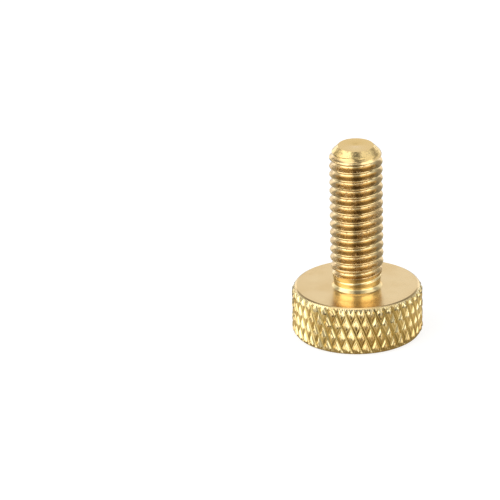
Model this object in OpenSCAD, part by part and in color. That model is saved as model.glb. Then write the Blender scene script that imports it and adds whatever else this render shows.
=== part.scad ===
// Thumb screw in brass: a round diamond-knurled head, a relieved neck and a right-hand machine thread.
// It stands on the outer face of its head, shank up. Units are millimetres.

/* [Head] */
// Diameter over the knurl
head_diameter = 14.6; // [12:0.1:20]
// Thickness from the outer face to the bearing face
head_thickness = 5.6; // [3.6:0.1:9]
// Width of the bevel on each rim, along the radius
bevel_width = 0.4; // [0.1:0.05:0.8]
// Height of the bevel on each rim, along the axis
bevel_height = 0.58; // [0.2:0.02:1]

/* [Knurl] */
// Diamonds round the rim
knurl_count = 40; // [30:1:60]
// Slant of the knurl grooves from the axis, in degrees
knurl_angle = 22.5; // [18:0.1:36]
// Depth of the grooves under the crests
knurl_depth = 0.32; // [0.15:0.01:0.5]
// Part of each point that the rim's diameter cuts flat
knurl_crest = 0.04; // [0.02:0.01:0.15]
// Direction of one diamond's point round the axis, in degrees
knurl_turn = -92; // [-180:1:180]
// Height of the diamonds above a pattern that is even about the middle of the rim
knurl_lift = -0.12; // [-0.2:0.02:0.2]

/* [Neck] */
// Diameter of the plain neck above the bearing face
neck_diameter = 5.24; // [5:0.02:5.6]
// Length of the plain neck
neck_length = 0.6; // [0.5:0.1:2]
// Radius of the fillet between the neck and the bearing face
neck_fillet = 0.4; // [0.4:0.02:0.55]

/* [Thread] */
// Outer diameter of the thread
thread_diameter = 5.97; // [5.8:0.01:6]
// Advance of the thread in one turn
thread_pitch = 1; // [0.75:0.05:1]
// Length of the shank from the bearing face to the tip
shank_length = 16.8; // [8:0.2:40]
// Length over which the shank grows from the neck to the full thread
runout_length = 2.4; // [1:0.1:3]
// Turns over which the groove gets shallow towards the neck
runout_turns = 1.25; // [0.8:0.05:2]
// Height of the groove's end over the neck, in turns
runout_start = 0.2; // [0.1:0.05:0.5]
// Direction in which the groove ends at the neck, in degrees
thread_turn = 157; // [-180:1:180]
// Diameter of the flat at the tip
tip_diameter = 4; // [3:0.1:5]

/* [Smoothness] */
// Steps in one turn of the thread
thread_steps = 30; // [18:2:40]
// Steps in one full circle
$fn = 96; // [72:8:128]

/* [Hidden] */
brass = [0.78, 0.6, 0.28];
head_radius = head_diameter / 2;
neck_radius = neck_diameter / 2;
thread_radius = thread_diameter / 2;
tip_radius = tip_diameter / 2;
screw_length = head_thickness + shank_length;
neck_top = head_thickness + neck_length;
tip_chamfer = thread_radius - tip_radius;
overlap = 0.06;

// Knurl lattice: half a diamond wide and half a diamond tall in each cell
cell_turn = 180 / knurl_count;
cell_height = PI * head_radius / knurl_count / tan(knurl_angle);
cell_columns = 2 * knurl_count;
cell_rows = 2 * ceil((head_thickness / cell_height - 0.5) / 2) + 1;
form_bottom = (head_thickness - cell_rows * cell_height) / 2 + knurl_lift;

// Metric thread form: flanks at 60 degrees, an eighth of the pitch flat at the crest, a sixth at the root
flank_slope = tan(30);
crest_groove = 7 / 8 * thread_pitch;
root_groove = thread_pitch / 6;
thread_depth = (crest_groove - root_groove) / 2 / flank_slope;
root_radius = thread_radius - thread_depth;
groove_bottom = neck_top + runout_start * thread_pitch;
groove_top = screw_length + thread_pitch / 2;
groove_steps = ceil((groove_top - groove_bottom) / thread_pitch * thread_steps);

// Radius of the knurl at a lattice point: grooves cross at the even ones, diamonds have their points at the odd ones
function knurl_radius(column, row) =
    (column + row) % 2 == 0 ? head_radius - knurl_depth : head_radius + knurl_crest;

// Lattice point in space
function knurl_point(column, row) =
    let (turn = knurl_turn + column * cell_turn)
    let (radius = knurl_radius(column, row))
    [radius * cos(turn), radius * sin(turn), form_bottom + row * cell_height];

// Place of a lattice point in the point list
function knurl_index(column, row) = row * cell_columns + column % cell_columns;

// Two triangles of one lattice cell, split along its groove
function knurl_cell(column, row) =
    let (a = knurl_index(column, row))
    let (b = knurl_index(column + 1, row))
    let (c = knurl_index(column + 1, row + 1))
    let (d = knurl_index(column, row + 1))
    (column + row) % 2 == 0 ? [[a, c, b], [a, d, c]] : [[a, d, b], [b, d, c]];

// How far the groove has drawn outwards at a step, from its shallow end
function groove_lift(step) =
    (neck_radius + overlap - root_radius) * max(0, 1 - step / (runout_turns * thread_steps));

// Four corners of the groove's section at a step
function groove_section(step) =
    let (turn = thread_turn + step * 360 / thread_steps)
    let (middle = groove_bottom + step * thread_pitch / thread_steps)
    let (inner = root_radius + groove_lift(step))
    let (outer = thread_radius + overlap + groove_lift(step))
    let (outer_half = crest_groove / 2 + overlap * flank_slope)
    [for (corner = [[inner, -root_groove / 2], [outer, -outer_half], [outer, outer_half], [inner, root_groove / 2]])
        [corner.x * cos(turn), corner.x * sin(turn), middle + corner.y]];

// Two triangles of one side of the groove between two steps
function groove_side(step, side) =
    let (a = 4 * step + side)
    let (b = 4 * step + (side + 1) % 4)
    [[a, b, b + 4], [a, b + 4, a + 4]];

// Blank of the head with its two bevelled rims
module head_blank() {
    rotate_extrude()
        polygon([
            [0, 0],
            [head_radius - bevel_width, 0],
            [head_radius, bevel_height],
            [head_radius, head_thickness - bevel_height],
            [head_radius - bevel_width, head_thickness],
            [0, head_thickness]
        ]);
}

// Solid whose side is the field of four-sided points left by two crossing sets of grooves
module knurl_form() {
    ring_points = [
        for (row = [0:cell_rows])
            for (column = [0:cell_columns - 1])
                knurl_point(column, row)
    ];
    low_centre = len(ring_points);
    high_centre = low_centre + 1;
    side_faces = [
        for (row = [0:cell_rows - 1])
            for (column = [0:cell_columns - 1])
                each knurl_cell(column, row)
    ];
    end_faces = [
        for (column = [0:cell_columns - 1])
            each [
                [low_centre, knurl_index(column, 0), knurl_index(column + 1, 0)],
                [high_centre, knurl_index(column + 1, cell_rows), knurl_index(column, cell_rows)]
            ]
    ];
    polyhedron(
        points = concat(ring_points, [[0, 0, form_bottom], [0, 0, form_bottom + cell_rows * cell_height]]),
        faces = concat(side_faces, end_faces)
    );
}

// Head with the knurl running out through both bevels
module head() {
    intersection() {
        head_blank();
        knurl_form();
    }
}

// Turned blank of the shank: fillet, neck, run-out, full diameter and chamfered tip
module shank_blank() {
    rotate_extrude() {
        polygon([
            [0, head_thickness / 2],
            [neck_radius, head_thickness / 2],
            [neck_radius, neck_top],
            [thread_radius, neck_top + runout_length],
            [thread_radius, screw_length - tip_chamfer],
            [tip_radius, screw_length],
            [0, screw_length]
        ]);
        translate([neck_radius, head_thickness])
            difference() {
                translate([-overlap, -overlap])
                    square(neck_fillet + overlap);
                translate([neck_fillet, neck_fillet])
                    circle(neck_fillet);
            }
    }
}

// Helical groove, open past the tip and drawn out of the metal near the neck
module thread_groove() {
    section_points = [for (step = [0:groove_steps]) each groove_section(step)];
    side_faces = [
        for (step = [0:groove_steps - 1])
            for (side = [0:3])
                each groove_side(step, side)
    ];
    last = 4 * groove_steps;
    polyhedron(
        points = section_points,
        faces = concat(side_faces, [[3, 2, 1, 0], [last, last + 1, last + 2, last + 3]])
    );
}

// Shank with the thread cut into it
module shank() {
    difference() {
        shank_blank();
        thread_groove();
    }
}

// The whole screw, turned from one piece
module thumb_screw() {
    color(brass) {
        head();
        shank();
    }
}

thumb_screw();
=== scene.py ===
import math

import bpy
from mathutils import Matrix, Vector, noise


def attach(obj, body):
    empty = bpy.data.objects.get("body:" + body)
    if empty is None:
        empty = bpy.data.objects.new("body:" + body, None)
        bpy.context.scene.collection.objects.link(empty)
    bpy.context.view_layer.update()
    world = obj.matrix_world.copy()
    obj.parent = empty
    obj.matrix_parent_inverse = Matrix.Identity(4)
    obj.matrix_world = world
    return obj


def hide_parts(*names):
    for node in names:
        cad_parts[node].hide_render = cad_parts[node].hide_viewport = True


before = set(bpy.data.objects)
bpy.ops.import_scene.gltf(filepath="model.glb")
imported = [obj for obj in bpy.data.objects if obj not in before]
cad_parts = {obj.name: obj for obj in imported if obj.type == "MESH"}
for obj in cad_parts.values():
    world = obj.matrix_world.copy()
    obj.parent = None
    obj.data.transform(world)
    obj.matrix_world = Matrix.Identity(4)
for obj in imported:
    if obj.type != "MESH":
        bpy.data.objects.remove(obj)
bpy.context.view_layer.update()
mm = 0.001


class Wire:  # a socket that takes part in Python sums
    def __init__(self, tree, socket=None):
        self.tree, self.socket = tree, socket

    def node(self, kind, settings, inputs, out=0):
        made = self.tree.nodes.new("ShaderNode" + kind)
        for name, value in settings.items():
            setattr(made, name, value)
        for name, value in inputs.items():
            if isinstance(value, Wire):
                self.tree.links.new(value.socket, made.inputs[name])
            else:
                made.inputs[name].default_value = value
        return Wire(self.tree, made.outputs[out] if made.outputs else None)

    def sum(self, operation, a, b=0.0):
        return self.node("Math", {"operation": operation}, {0: a, 1: b})

    def __add__(self, other):
        return self.sum("ADD", self, other)

    def __radd__(self, other):
        return self.sum("ADD", other, self)

    def __sub__(self, other):
        return self.sum("SUBTRACT", self, other)

    def __rsub__(self, other):
        return self.sum("SUBTRACT", other, self)

    def __mul__(self, other):
        return self.sum("MULTIPLY", self, other)

    def __rmul__(self, other):
        return self.sum("MULTIPLY", other, self)

    def __truediv__(self, other):
        return self.sum("DIVIDE", self, other)

    def __rtruediv__(self, other):
        return self.sum("DIVIDE", other, self)

    def __pow__(self, other):
        return self.sum("POWER", self, other)

    def __rpow__(self, other):
        return self.sum("POWER", other, self)

    def __abs__(self):
        return self.sum("ABSOLUTE", self)

    def rise(self, low, high):  # 0 below low, 1 above high, smooth between
        smooth = {"interpolation_type": "SMOOTHSTEP"}
        return self.node("MapRange", smooth, {"Value": self, "From Min": low, "From Max": high})

    def band(self, low, lowFull, highFull, high):  # 1 from lowFull to highFull, 0 outside low and high
        return self.rise(low, lowFull) * (1 - self.rise(highFull, high))

    def fade(self, a, b):  # number a where this is 0, number b where it is 1
        return a + self * (b - a)

    def blend(self, a, b):  # colour a where this is 0, colour b where it is 1
        return self.node("Mix", {"data_type": "RGBA"}, {"Factor": self, 6: a, 7: b}, out=2)

    def axes(self):
        return [self.node("SeparateXYZ", {}, {"Vector": self}, out=i) for i in range(3)]


def clamp(value):
    return min(1.0, max(0.0, value))


def smoothMin(a, b, width):  # the smaller of two, rounded where they meet
    h = max(0.0, width - abs(a - b)) / width
    return min(a, b) - h * h * width / 4


# Head: a round blank with bevelled rims, and two crossing sets of grooves pressed into it
headForm = {
    "radius": 7.298,
    "height": 5.6,
    "bevelWidth": 0.4,
    "bevelHeight": 0.58,
    "brinkWidth": 0.13,  # flatter break between a bevel and its face
    "brinkSlope": 60.0,
    "turnedBand": 0.117,  # height of the turned finish next to each face
    "rimRound": 0.025,
    "diamonds": 40,
    "grooveSlant": 22.5,
    "grooveDepth": 0.32,
    "grooveRound": 0.012,
    "crossShallow": 0.075,  # the second set of grooves is shallower
    "hipRound": 0.012,
    "pointCut": 0.09,  # what the blank cuts off each point
    "flatRound": 0.008,
    "firstPoint": -92.0,
    "patternLift": -0.12,
    "cellRows": 5,
    "cellSteps": 10,
    "bevelRows": 12,
    "bevelZone": 1.15,  # the close rows reach a little past the bevel
    "rowCrowding": 1.7,
    "faceMargin": 0.12,
    "discShare": 0.5,
}


def faceEdge():
    return headForm["radius"] - headForm["bevelWidth"] - headForm["brinkWidth"]


def headBlankRadius(z):
    drop = min(z, headForm["height"] - z)
    bevel = headForm["radius"] - headForm["bevelWidth"] * (1 - drop / headForm["bevelHeight"])
    brink = faceEdge() + drop * math.tan(math.radians(headForm["brinkSlope"]))
    rim = smoothMin(bevel, brink, headForm["rimRound"])
    return smoothMin(rim, headForm["radius"], headForm["rimRound"])


def cellHeight():
    wide = math.pi * headForm["radius"] / headForm["diamonds"]
    return wide / math.tan(math.radians(headForm["grooveSlant"]))


def patternBase():
    return (headForm["height"] - headForm["cellRows"] * cellHeight()) / 2 + headForm["patternLift"]


def toGroove(place, softness):  # distance to the nearest groove line, 0 to 0.5, rounded at the bottom
    away = abs(place - math.floor(place + 0.5))
    return math.sqrt(away * away + softness * softness) - softness


def knurlRadius(column, z):  # column counts half diamonds round the rim
    row = (z - patternBase()) / cellHeight()
    one = toGroove((column + row) / 2, headForm["grooveRound"])
    two = toGroove((column - row) / 2, headForm["grooveRound"]) + headForm["crossShallow"]
    climb = 2 * smoothMin(one, two, headForm["hipRound"])
    rise = headForm["grooveDepth"] + headForm["pointCut"]
    field = headForm["radius"] - headForm["grooveDepth"] + rise * climb
    return smoothMin(field, headBlankRadius(z), headForm["flatRound"])


def headRows():
    step = cellHeight() / headForm["cellSteps"]
    base = patternBase()
    zone = headForm["bevelHeight"] * headForm["bevelZone"]
    count = headForm["bevelRows"]
    rows = [zone * (i / count) ** headForm["rowCrowding"] for i in range(count + 1)]
    rows += [headForm["height"] - z for z in rows]
    for i in range(headForm["cellRows"] * headForm["cellSteps"] + 1):
        z = base + i * step
        if zone + step / 3 < z < headForm["height"] - zone - step / 3:
            rows.append(z)
    return sorted(rows)


# Shank: conical foot, neck, run-out, thread and chamfered tip
shankForm = {
    "neckRadius": 2.62,
    "neckLength": 0.6,
    "footWidth": 0.22,
    "footHeight": 0.38,
    "footCurve": 1.15,
    "footMargin": 0.25,
    "footRows": 10,
    "threadRadius": 2.985,
    "pitch": 1.0,
    "length": 16.8,
    "flankSlope": 60.0,
    "rootOver": 0.34,  # the root is wide above a thread
    "rootUnder": 0.08,  # and tight under the next
    "crestFlat": 0.08,
    "crestRound": 0.02,
    "crestTear": 0.05,
    "tearSize": 0.22,
    "tearEnd": 0.6,
    "runoutLength": 2.4,
    "runoutTurns": 1.25,
    "grooveStart": 0.20,
    "grooveEnd": 157.0,
    "clearance": 0.06,
    "leadTurns": 1.5,  # the groove is shallow again at the tip
    "leadLift": 0.36,
    "tipRadius": 2.0,
    "tipRound": 0.42,
    "pipRadius": 0.2,
    "pipRim": 1.6,
    "pipDepth": 0.034,
    "pipMiddle": 1 / 3,
    "columns": 100,  # has to divide the points in a ring of the head
    "rowsPerTurn": 18,
}


def shankRadius(turn, z):  # turn in degrees round the axis
    form = shankForm
    pitch, outer = form["pitch"], form["threadRadius"]
    neckTop = headForm["height"] + form["neckLength"]
    tip = headForm["height"] + form["length"]
    swell = clamp((z - neckTop) / form["runoutLength"])
    blank = form["neckRadius"] + (outer - form["neckRadius"]) * swell
    blank = smoothMin(blank, form["tipRadius"] + (tip - z), form["tipRound"])
    spot = Vector((outer * math.cos(math.radians(turn)), outer * math.sin(math.radians(turn)), z))
    tear = max(0.0, noise.noise(spot / form["tearSize"]))
    blank -= form["crestTear"] * tear * swell * clamp(tip - z - form["tearEnd"])
    steep = math.tan(math.radians(form["flankSlope"]))
    over, under = form["rootOver"], form["rootUnder"]
    depth = steep * (pitch - form["crestFlat"] - (over + under) / 2) / 2
    bottom = neckTop + form["grooveStart"] * pitch
    part = ((turn - form["grooveEnd"]) % 360) / 360
    turns = (z - bottom) / pitch - part
    nearest = math.floor(turns + 0.5)
    done = nearest + part  # turns from the groove's shallow end
    if done < 0:
        return blank
    away = (turns - nearest) * pitch - (over - under) / 4
    curve = under if away > 0 else over
    away = abs(away)
    lift = form["neckRadius"] + form["clearance"] - (outer - depth)
    root = outer - depth + lift * max(0.0, 1 - done / form["runoutTurns"])
    fading = done - (tip - bottom) / pitch + form["leadTurns"]
    root += form["leadLift"] * clamp(fading / form["leadTurns"])
    groove = root + steep * (away * away / curve / 2 if away < curve else away - curve / 2)
    return smoothMin(groove, blank, form["crestRound"])


class Skin:  # points and faces of one turned piece
    def __init__(self):
        self.points, self.faces, self.finish = [], [], []

    def point(self, radius, turn, z):
        spin = math.radians(turn)
        self.points.append((mm * radius * math.cos(spin), mm * radius * math.sin(spin), mm * z))
        return len(self.points) - 1

    def ring(self, radii, z, first):
        return [self.point(radius, first + 360 * i / len(radii), z) for i, radius in enumerate(radii)]

    def face(self, corners, finish):
        self.faces.append(corners)
        self.finish.append(finish)

    def wall(self, low, high, finish):
        for i in range(len(low)):
            k = (i + 1) % len(low)
            self.face((low[i], low[k], high[k], high[i]), finish)

    def fan(self, fine, coarse, finish):  # joins a fine ring to a coarse ring inside it
        share = len(fine) // len(coarse)
        middle = share // 2
        for i in range(len(coarse)):
            k = (i + 1) % len(coarse)
            outer = [fine[(i * share + j) % len(fine)] for j in range(share + 1)]
            for j in range(share):
                self.face((outer[j], outer[j + 1], coarse[i] if j < middle else coarse[k]), finish)
            self.face((coarse[i], outer[middle], coarse[k]), finish)

    def disc(self, rim, z, finish, up):
        centre = self.point(0.0, 0.0, z)
        for i in range(len(rim)):
            k = (i + 1) % len(rim)
            self.face((rim[i], rim[k], centre) if up else (rim[k], rim[i], centre), finish)


finishes = {"turned": 0, "knurled": 1, "threaded": 2}
sharpAngle = 28.0


def buildHead(skin):
    count = 2 * headForm["diamonds"] * headForm["cellSteps"]
    step, base = cellHeight(), patternBase()
    rows = headRows()
    rings = []
    for z in rows:
        radii = [knurlRadius(i / headForm["cellSteps"], z) for i in range(count)]
        rings.append(skin.ring(radii, z, headForm["firstPoint"]))
    for low, high, z in zip(rings, rings[1:], [(a + b) / 2 for a, b in zip(rows, rows[1:])]):
        row = math.floor((z - base) / step)
        onBrink = min(z, headForm["height"] - z) < headForm["turnedBand"]
        finish = finishes["turned" if onBrink else "knurled"]
        for i in range(count):
            k = (i + 1) % count
            along = (i // headForm["cellSteps"] + row) % 2 == 0  # each cell is split along its groove
            if along:
                skin.face((low[i], low[k], high[k]), finish)
                skin.face((low[i], high[k], high[i]), finish)
            else:
                skin.face((low[i], low[k], high[i]), finish)
                skin.face((low[k], high[k], high[i]), finish)
    return rings[0], rings[-1]


def buildFaces(skin, lowRim, highRim):
    first, turned = headForm["firstPoint"], finishes["turned"]
    inner = faceEdge() - headForm["faceMargin"]
    count, coarseCount = len(lowRim), shankForm["columns"]
    low = skin.ring([inner] * count, 0.0, first)
    skin.wall(low, lowRim, turned)
    coarse = skin.ring([inner * headForm["discShare"]] * coarseCount, 0.0, first)
    share = count // coarseCount
    for i in range(coarseCount):
        outer = [low[(i * share + j) % count] for j in range(share + 1)]
        skin.face([coarse[i], coarse[(i + 1) % coarseCount]] + outer[::-1], turned)
    skin.disc(coarse, 0.0, turned, up=False)
    high = skin.ring([inner] * count, headForm["height"], first)
    skin.wall(highRim, high, turned)
    return high


def buildFoot(skin, faceRing):
    form, first = shankForm, headForm["firstPoint"]
    count = form["columns"]
    reach = form["neckRadius"] + form["footWidth"] + form["footMargin"]
    last = skin.ring([reach] * count, headForm["height"], first)
    skin.fan(faceRing, last, finishes["turned"])
    for i in range(form["footRows"] + 1):
        climb = i / form["footRows"]
        radius = form["neckRadius"] + form["footWidth"] * (1 - climb) ** form["footCurve"]
        ring = skin.ring([radius] * count, headForm["height"] + form["footHeight"] * climb, first)
        skin.wall(last, ring, finishes["turned" if i == 0 else "threaded"])
        last = ring
    return last


def buildThread(skin, foot):  # the rows climb with the thread
    form, first = shankForm, headForm["firstPoint"]
    count, perTurn, pitch = form["columns"], form["rowsPerTurn"], form["pitch"]
    low = headForm["height"] + form["footHeight"]
    high = headForm["height"] + form["length"]
    rowCount = math.ceil((high - low) / pitch + 1) * perTurn
    columns = []
    for i in range(count):
        turn = first + 360 * i / count
        column, made = [], {low: foot[i]}
        for j in range(rowCount + 1):
            z = low - pitch + pitch * (i / count + j / perTurn)
            z = min(high, max(low, z))
            if z not in made:
                made[z] = skin.point(shankRadius(turn, z), turn, z)
            column.append(made[z])
        columns.append(column)
    for i in range(count):
        k = (i + 1) % count
        shift = perTurn if k == 0 else 0  # the last column meets the first one turn higher
        for j in range(rowCount):
            b = columns[k][min(rowCount, j + shift)]
            c = columns[k][min(rowCount, j + 1 + shift)]
            corners = tuple(dict.fromkeys((columns[i][j], b, c, columns[i][j + 1])))
            if len(corners) > 2:
                skin.face(corners, finishes["threaded"])
    return [column[-1] for column in columns]


def buildTip(skin, rim):
    form, first, turned = shankForm, headForm["firstPoint"], finishes["turned"]
    count, high = form["columns"], headForm["height"] + form["length"]
    brim = skin.ring([form["pipRadius"] * form["pipRim"]] * count, high, first)
    skin.wall(rim, brim, turned)
    pip = skin.ring([form["pipRadius"]] * count, high - form["pipDepth"], first)
    skin.wall(brim, pip, turned)
    skin.disc(pip, high - form["pipDepth"] * form["pipMiddle"], turned, up=True)


def makeScrew():
    skin = Skin()
    lowRim, highRim = buildHead(skin)
    faceRing = buildFaces(skin, lowRim, highRim)
    buildTip(skin, buildThread(skin, buildFoot(skin, faceRing)))
    mesh = bpy.data.meshes.new("thumbScrew")
    mesh.from_pydata(skin.points, [], skin.faces)
    mesh.validate()
    mesh.polygons.foreach_set("material_index", skin.finish)
    mesh.polygons.foreach_set("use_smooth", [True] * len(skin.faces))
    mesh.set_sharp_from_angle(angle=math.radians(sharpAngle))
    mesh.update()
    made = bpy.data.objects.new("thumbScrew", mesh)
    bpy.context.scene.collection.objects.link(made)
    print("screw:", len(skin.points), "points,", len(skin.faces), "faces")
    return made


def newMaterial(name):
    made = bpy.data.materials.new(name)
    made.use_nodes = True
    made.node_tree.nodes.clear()
    return made, Wire(made.node_tree)


def objectPlace(wire):
    return wire.node("TexCoord", {}, {}, out="Object")


def fromAxis(x, y):  # distance from the screw's axis in mm
    return (x * x + y * y) ** 0.5 / mm


def speckle(wire, place, values):
    return wire.node("TexNoise", {}, {"Vector": place, **values})


def closeBrass(wire, colour, rough, marks, markHeight, anisotropy=0.0):
    normal = wire.node("Bump", {}, {"Height": marks, "Distance": markHeight * mm, "Strength": 1.0})
    values = {"Base Color": colour, "Metallic": 1.0, "Roughness": rough}
    values.update({"Anisotropic": anisotropy, "Normal": normal})
    wire.node("OutputMaterial", {}, {"Surface": wire.node("BsdfPrincipled", {}, values)})


# Turned brass: the bearing face, the outer face and the tip, with the cutter's fine rings
turnedBrass = {
    "pale": (0.80, 0.60, 0.31, 1),
    "warm": (0.74, 0.52, 0.23, 1),
    "warmSpan": (0.3, 0.75),
    "tip": (0.76, 0.53, 0.20, 1),
    "tipHeights": (13.6, 14.6),
    "rough": 0.2,
    "roughSpread": 0.08,
    "ringsPerMm": 9.0,
    "ringDetail": 3.0,
    "ringHeight": 0.0009,
    "cloud": {"Scale": 260.0, "Detail": 4.0},
    "anisotropy": 0.35,
}


def makeTurned():
    look = turnedBrass
    made, wire = newMaterial("turnedBrass")
    place = objectPlace(wire)
    x, y, z = place.axes()
    radius, height = fromAxis(x, y), z / mm
    turning = {"W": radius * look["ringsPerMm"], "Detail": look["ringDetail"]}
    rings = wire.node("TexNoise", {"noise_dimensions": "1D"}, turning)
    cloud = speckle(wire, place, look["cloud"])
    colour = cloud.rise(*look["warmSpan"]).blend(look["pale"], look["warm"])
    colour = height.rise(*look["tipHeights"]).blend(colour, look["tip"])
    rough = look["rough"] + (rings - 0.5) * look["roughSpread"] + (cloud - 0.5) * look["roughSpread"]
    closeBrass(wire, colour, rough, rings, look["ringHeight"], look["anisotropy"])
    return made


# Knurled brass: bright pressed facets with the tool's marks and painted highlight and shade stripes along
# them, and rough groove bottoms darkened with painted shade
knurledBrass = {
    "pale": (0.92, 0.77, 0.44, 1),
    "paleSpan": (0.35, 0.7),
    "grooveShade": (0.55, 0.42, 0.15, 1),
    "raisedTo": -0.12,
    "raisedShare": 0.8,
    "grainShare": 0.3,
    "rough": 0.10,
    "grooveRough": 0.36,
    "roughSpread": 0.12,
    "grain": {"Scale": 2600.0, "Detail": 5.0, "Roughness": 0.6},
    "wide": {"Scale": 420.0, "Detail": 2.0},
    "linesPerFacet": 2.2,
    "lineDrift": 4.0,
    "streakSpan": (0.2, 0.8),
    "streakShade": (0.35, 1.1),
    "wornSpan": (0.42, 0.58),
    "wornLines": (0.5, 1.0),
    "grainLines": 0.06,
    "scratchHeight": 0.02,
}


def makeKnurled():
    look = knurledBrass
    made, wire = newMaterial("knurledBrass")
    place = objectPlace(wire)
    x, y, z = place.axes()
    radius, height = fromAxis(x, y), z / mm
    drop = wire.sum("MINIMUM", height, headForm["height"] - height)
    narrow, broad = headForm["radius"] - headForm["bevelWidth"], headForm["radius"]
    bevel = {"Value": drop, "From Max": headForm["bevelHeight"], "To Min": narrow, "To Max": broad}
    raised = (radius - wire.node("MapRange", {}, bevel)).rise(-headForm["grooveDepth"], look["raisedTo"])
    grain = speckle(wire, place, look["grain"])
    wide = speckle(wire, place, look["wide"])
    column = wire.sum("ARCTAN2", y, x) * (headForm["diamonds"] / math.pi)
    column = column - headForm["firstPoint"] * headForm["diamonds"] / 180
    row = (height - patternBase()) / cellHeight()
    away = [wire.sum("PINGPONG", slanted / 2, 0.5) for slanted in (column + row, column - row)]
    climb = wire.sum("MINIMUM", away[0], away[1]) * 2  # 0 in a groove, 1 on a point
    phase = climb * (2 * math.pi * look["linesPerFacet"]) + wide * look["lineDrift"]
    lines = wire.sum("SINE", phase) / 2 + 0.5  # they run along the grooves
    # painted highlight and shade: stripes along the grooves, on the same lines as the tool marks in the
    # bump
    streak = lines.rise(*look["streakSpan"]).fade(*look["streakShade"])
    pale = wide.rise(*look["paleSpan"]).blend(look["pale"], turnedBrass["warm"])
    bright = (raised * look["raisedShare"] + grain * look["grainShare"]) * streak
    # painted shade: the groove bottoms take the dark groove colour
    colour = bright.blend(look["grooveShade"], pale)
    rough = raised.fade(look["grooveRough"], look["rough"]) + (grain - 0.5) * look["roughSpread"]
    worn = wide.rise(*look["wornSpan"]).fade(*look["wornLines"])
    closeBrass(wire, colour, rough, lines * worn + grain * look["grainLines"], look["scratchHeight"])
    return made


# Threaded brass: a redder cut surface with torn flecks, residue in the roots, painted shade on the
# flanks, and a paler colour on the neck and foot as a painted highlight
threadedBrass = {
    "pale": (0.79, 0.625, 0.32, 1),
    "red": (0.75, 0.545, 0.26, 1),
    "redSpan": (0.35, 0.65),
    "flankShade": (0.67, 0.47, 0.225, 1),
    "flankShadeShare": 0.8,
    "flankRadii": (2.48, 2.6, 2.84, 2.95),
    "lead": (0.81, 0.59, 0.24, 1),
    "leadHeights": (21.3, 21.7),
    "leadSpan": (0.35, 0.6),
    "leadShare": (0.6, 1.0),
    "neck": (0.86, 0.68, 0.34, 1),
    "neckHeights": (6.8, 7.4),
    "residue": (0.30, 0.18, 0.09, 1),
    "residueShare": 0.6,
    "residueSpan": (0.52, 0.66),
    "rootRadii": (2.42, 2.62),
    "crestRadii": (2.9, 2.95),
    "fleck": {"Scale": 3200.0, "Detail": 6.0, "Roughness": 0.65},
    "patch": {"Scale": 380.0, "Detail": 3.0},
    "mottle": {"Scale": 1400.0, "Detail": 2.0},
    "tornPatch": (0.44, 0.6),
    "tornFleck": (0.48, 0.62),
    "tornNeck": 1.5,
    "tornNeckHeights": (6.3, 6.55, 7.2, 8.4),
    "rough": 0.17,
    "tornRough": 0.28,
    "residueRough": 0.2,
    "fleckHeight": 0.012,
    "fleckOnCrest": 1.2,
    "fleckAllOver": 0.03,
    "mottleOnLead": 5.0,
}


def makeThreaded():
    look = threadedBrass
    made, wire = newMaterial("threadedBrass")
    place = objectPlace(wire)
    x, y, z = place.axes()
    radius, height = fromAxis(x, y), z / mm
    fleck = speckle(wire, place, look["fleck"])
    patch = speckle(wire, place, look["patch"])
    mottle = speckle(wire, place, look["mottle"])
    aboveNeck = height.rise(*look["neckHeights"])
    inRoot = (1 - radius.rise(*look["rootRadii"])) * aboveNeck
    flank = radius.band(*look["flankRadii"]) * aboveNeck
    crest = radius.rise(*look["crestRadii"])
    lead = height.rise(*look["leadHeights"])
    tearing = aboveNeck + height.band(*look["tornNeckHeights"]) * look["tornNeck"]
    torn = patch.rise(*look["tornPatch"]) * fleck.rise(*look["tornFleck"]) * tearing
    stain = inRoot * fleck.rise(*look["residueSpan"]) * look["residueShare"]
    cut = patch.rise(*look["redSpan"]).blend(look["pale"], look["red"])
    # painted shade: the thread flanks, between root and crest, are darker and redder
    cut = (flank * look["flankShadeShare"]).blend(cut, look["flankShade"])
    cut = (lead * patch.rise(*look["leadSpan"]).fade(*look["leadShare"])).blend(cut, look["lead"])
    # painted highlight: the neck and the foot below the thread take a paler colour
    colour = stain.blend(aboveNeck.blend(look["neck"], cut), look["residue"])
    rough = look["rough"] + torn * look["tornRough"] + stain * look["residueRough"]
    marks = torn * fleck + crest * fleck * look["fleckOnCrest"] + fleck * look["fleckAllOver"]
    marks = marks + lead * (mottle * look["mottleOnLead"] + fleck)
    closeBrass(wire, colour, rough, marks, look["fleckHeight"])
    return made


screw = makeScrew()
for maker in (makeTurned, makeKnurled, makeThreaded):
    screw.data.materials.append(maker())
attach(screw, "root")
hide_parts("thumb_screw")
print("screw finished")

# Floor: white paper to the eye; the brass sees a painted glow on it, dark in front, with a pool of light
# on each side, a painted contact shadow round the head and painted shade tinted like brass beyond it
floorSet = {
    "width": 6.0,
    "seen": 0.78,
    "diffuse": (0.33, 0.33, 0.33, 1),
    "front": 0.045,
    "rear": 0.7,
    "rearSpan": (30, 120),
    "pools": ((-62, -25, 0.55), (30, 66, 0.28)),  # bearings and light
    "poolEdge": 14,
    "behind": 0.45,
    "behindBearings": (100, 125),
    "behindReach": (20, 30),
    "contactShadow": (0.30, 0.24, 0.12, 1),
    "contactShadowReach": (7.6, 9.2),
    "shadeBeside": (0.68, 0.56, 0.34, 1),
    "shadeBesideReach": (12, 20),
    "gap": (0.05, 0.035, 0.012, 1),
    "gapBearings": (7, 16),
    "gapReach": (9.4, 11.2),
    "gloss": 1.9,
    "glossRough": 0.08,
}


def bearingOf(wire, x, y):  # degrees, 0 in front, right is positive
    return wire.sum("ARCTAN2", x, 0 - y) * math.degrees(1)


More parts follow.
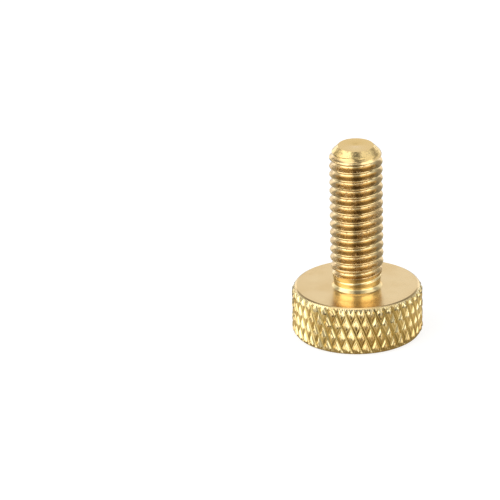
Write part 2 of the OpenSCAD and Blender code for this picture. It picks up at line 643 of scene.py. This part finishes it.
def makeFloor():
    look = floorSet
    half = look["width"] / 2
    corners = [(-half, -half, 0), (half, -half, 0), (half, half, 0), (-half, half, 0)]
    mesh = bpy.data.meshes.new("floor")
    mesh.from_pydata(corners, [], [(0, 1, 2, 3)])
    floor = bpy.data.objects.new("floor", mesh)
    bpy.context.scene.collection.objects.link(floor)
    made, wire = newMaterial("floorPaper")
    x, y, z = objectPlace(wire).axes()
    away = fromAxis(x, y)
    bearing = bearingOf(wire, x, y)
    level = (y / mm).rise(*look["rearSpan"]).fade(look["front"], look["rear"])
    soft = look["poolEdge"]
    for start, end, light in look["pools"]:
        level = bearing.band(start - soft, start + soft, end - soft, end + soft).fade(level, light)
    behind = abs(bearing).rise(*look["behindBearings"]) * (1 - away.rise(*look["behindReach"]))
    level = behind.fade(level, look["behind"])
    # painted contact shadow close round the head, and painted shade tinted like brass out from it
    nearShade = away.rise(*look["contactShadowReach"]).blend(look["contactShadow"], look["shadeBeside"])
    gap = (1 - abs(bearing).rise(*look["gapBearings"])) * away.rise(*look["gapReach"])
    colour = gap.blend((1 - away.rise(*look["shadeBesideReach"])).blend(level, nearShade), look["gap"])
    # painted glow: the brass sees the floor by this emission, not by light falling on it
    paintedGlow = wire.node("Emission", {}, {"Color": colour})
    gloss = wire.node("BsdfGlossy", {}, {"Color": (1, 1, 1, 1), "Roughness": look["glossRough"]})
    glance = wire.node("Fresnel", {}, {"IOR": look["gloss"]})
    mirrored = wire.node("MixShader", {}, {0: glance, 1: paintedGlow, 2: gloss})
    glow = wire.node("Emission", {}, {"Color": (1, 1, 1, 1), "Strength": look["seen"]})
    paper = wire.node("BsdfDiffuse", {}, {"Color": look["diffuse"]})
    seen = wire.node("AddShader", {}, {0: glow, 1: paper})
    direct = wire.node("LightPath", {}, {}, out="Is Camera Ray")
    top = wire.node("MixShader", {}, {0: direct, 1: mirrored, 2: seen})
    under = wire.node("NewGeometry", {}, {}, out="Backfacing")
    clear = wire.node("BsdfTransparent", {}, {})
    wire.node("OutputMaterial", {}, {"Surface": wire.node("MixShader", {}, {0: under, 1: top, 2: clear})})
    mesh.materials.append(made)


# Sky: two soft boxes in front, two low cards behind and light overhead, with a dark gap between the boxes
skySet = {
    "boxes": (  # bearings, light and top
        (-90, -19, 2.4, 1.1),
        (16, 78, 2.1, 1.1),
        (-168, -138, 1.6, 0.34),
        (142, 166, 1.45, 0.34),
    ),
    "boxEdge": 11,
    "boxTopEdge": 0.06,
    "sides": 0.42,
    "lowSides": 1.0,
    "sidesSpan": (0.12, 0.3),
    "rear": 0.99,
    "rearBearings": (154, 172),
    "rearTop": 0.2,
    "rearTopBearings": (112, 136),
    "rearTopSpan": (0.6, 0.7),
    "rearTopEnd": (0.9, 0.97),
    "leftTop": 1.4,
    "rightTop": 0.86,
    "topAcross": (-0.25, 0.25),
    "topSpan": (0.34, 0.52),
    "stripBearings": (30, 55, 95, 120),
    "stripLight": (0.6, 1.3),
    "zenith": 1.4,
    "zenithSpan": (0.95, 0.985),
    "lowGap": 0.6,
    "highGap": 0.2,
    "gapSpan": (0.42, 0.62),
    "gapBearings": (12, 26),
    "gapEnd": (0.93, 0.985),
}


def makeSky():
    look = skySet
    world = bpy.data.worlds.new("studio")
    bpy.context.scene.world = world
    world.use_nodes = True
    world.node_tree.nodes.clear()
    wire = Wire(world.node_tree)
    x, y, z = wire.node("TexCoord", {}, {}, out="Generated").axes()
    bearing = bearingOf(wire, x, y)
    turned = abs(bearing)
    soft, edge = look["boxEdge"], look["boxTopEdge"]
    level = z.rise(*look["sidesSpan"]).fade(look["lowSides"], look["sides"])
    for start, end, light, top in look["boxes"]:
        across = bearing.band(start - soft, start + soft, end - soft, end + soft)
        level = (across * (1 - z.rise(top - edge, top + edge))).fade(level, light)
    level = turned.rise(*look["rearBearings"]).fade(level, look["rear"])
    overhead = x.rise(*look["topAcross"]).fade(look["leftTop"], look["rightTop"])
    overhead = overhead * turned.band(*look["stripBearings"]).fade(*look["stripLight"])
    overhead = z.rise(*look["zenithSpan"]).fade(overhead, look["zenith"])
    behind = turned.rise(*look["rearTopBearings"])
    level = (behind * z.rise(*look["rearTopSpan"])).fade(level, look["rearTop"])
    cleared = 1 - behind * (1 - z.rise(*look["rearTopEnd"]))
    level = (z.rise(*look["topSpan"]) * cleared).fade(level, overhead)
    gap = (1 - turned.rise(*look["gapBearings"])) * (1 - z.rise(*look["gapEnd"]))
    level = gap.fade(level, z.rise(*look["gapSpan"]).fade(look["lowGap"], look["highGap"]))
    direct = wire.node("LightPath", {}, {}, out="Is Camera Ray")
    sky = wire.node("Background", {}, {"Color": direct.fade(level, 1)})
    wire.node("OutputWorld", {}, {"Surface": sky})


makeFloor()
makeSky()
print("studio lit")

# Camera: from the front, a little above, through a long lens; the screw stands right of the middle
cameraSet = {
    "elevation": 23.22,
    "roll": 0.88,
    "distance": 1.095,
    "clip": (0.05, 20.0),
    "sensor": 36.0,
    "frame": 500,
    "headRadiusPixels": 65.45,
    "aimHeight": 10.95,
    "aimPixel": (356.66, 239.89),
}


def makeCamera():
    view = cameraSet
    lift, roll = math.radians(view["elevation"]), math.radians(view["roll"])
    plainUp = Vector((0, math.sin(lift), math.cos(lift)))
    right = math.cos(roll) * Vector((1, 0, 0)) - math.sin(roll) * plainUp
    up = math.sin(roll) * Vector((1, 0, 0)) + math.cos(roll) * plainUp
    back = right.cross(up)
    pixel = headForm["radius"] * mm / view["headRadiusPixels"]
    middle = view["frame"] / 2
    aim = Vector((0, 0, view["aimHeight"] * mm))
    aim -= right * (view["aimPixel"][0] - middle) * pixel
    aim -= up * (middle - view["aimPixel"][1]) * pixel
    data = bpy.data.cameras.new("camera")
    data.sensor_width = view["sensor"]
    data.lens = view["sensor"] * view["distance"] / (pixel * view["frame"])
    data.clip_start, data.clip_end = view["clip"]
    camera = bpy.data.objects.new("camera", data)
    turn = Matrix((right, up, back)).transposed().to_4x4()
    camera.matrix_world = Matrix.Translation(aim + back * view["distance"]) @ turn
    bpy.context.scene.collection.objects.link(camera)
    bpy.context.scene.camera = camera


makeCamera()
bpy.context.scene.view_settings.view_transform = "Standard"
print("camera placed")
